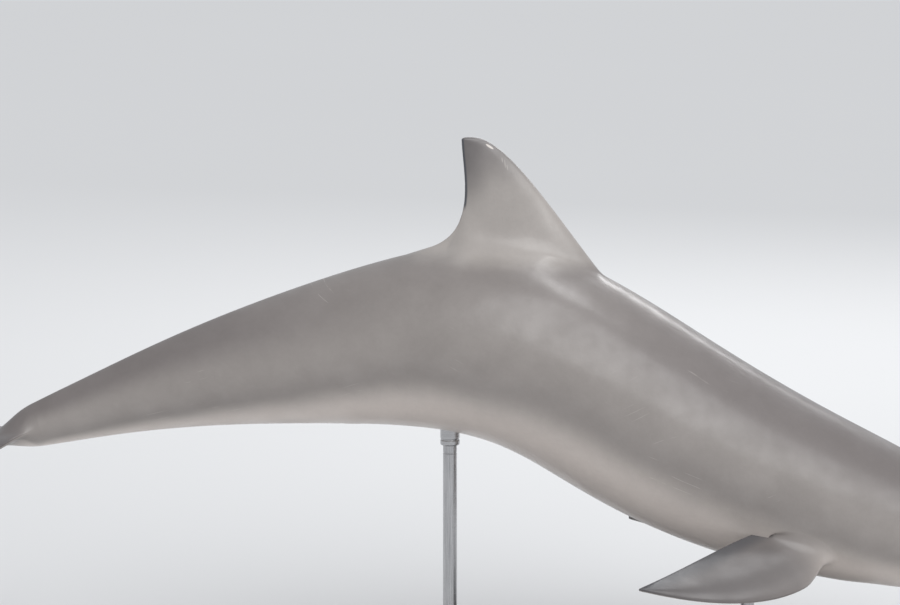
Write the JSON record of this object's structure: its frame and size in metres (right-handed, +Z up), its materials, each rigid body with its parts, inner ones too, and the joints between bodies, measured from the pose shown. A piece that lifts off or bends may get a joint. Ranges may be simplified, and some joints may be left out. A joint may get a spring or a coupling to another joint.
{
  "type": "bottlenose dolphin display model",
  "caption": "Life-size bottlenose dolphin arched in a surfacing roll, carried over a flat base by upright rods.",
  "frame": {"origin": "middle of the underside of the stand's base, on the floor", "axes": "+X towards the dolphin's beak, +Y towards its left side, +Z up"},
  "size_m": [2.3138, 0.6862, 1.0912],
  "materials": {
    "dolphin_skin": "wet, smooth, brownish grey above and paler below",
    "dolphin_eye": "polished, nearly black",
    "stand_board": "board with satin charcoal paint",
    "stand_steel": "brushed"
  },
  "bodies": {
    "root": {"beak_upper": "dolphin_skin", "jaw_lower": "dolphin_skin", "melon": "dolphin_skin", "head": "dolphin_skin", "chest": "dolphin_skin", "trunk": "dolphin_skin", "tail_base": "dolphin_skin", "tail_stock": "dolphin_skin", "dorsal_fin": "dolphin_skin", "flipper_left": "dolphin_skin", "flipper_right": "dolphin_skin", "fluke_left": "dolphin_skin", "fluke_right": "dolphin_skin", "eye_left": "dolphin_eye", "eye_right": "dolphin_eye", "stand_base": "stand_board", "stand_rod_front": "stand_steel", "stand_rod_rear": "stand_steel", "stand_flange_front": "stand_steel", "stand_flange_rear": "stand_steel"}
  },
  "joints": []
}
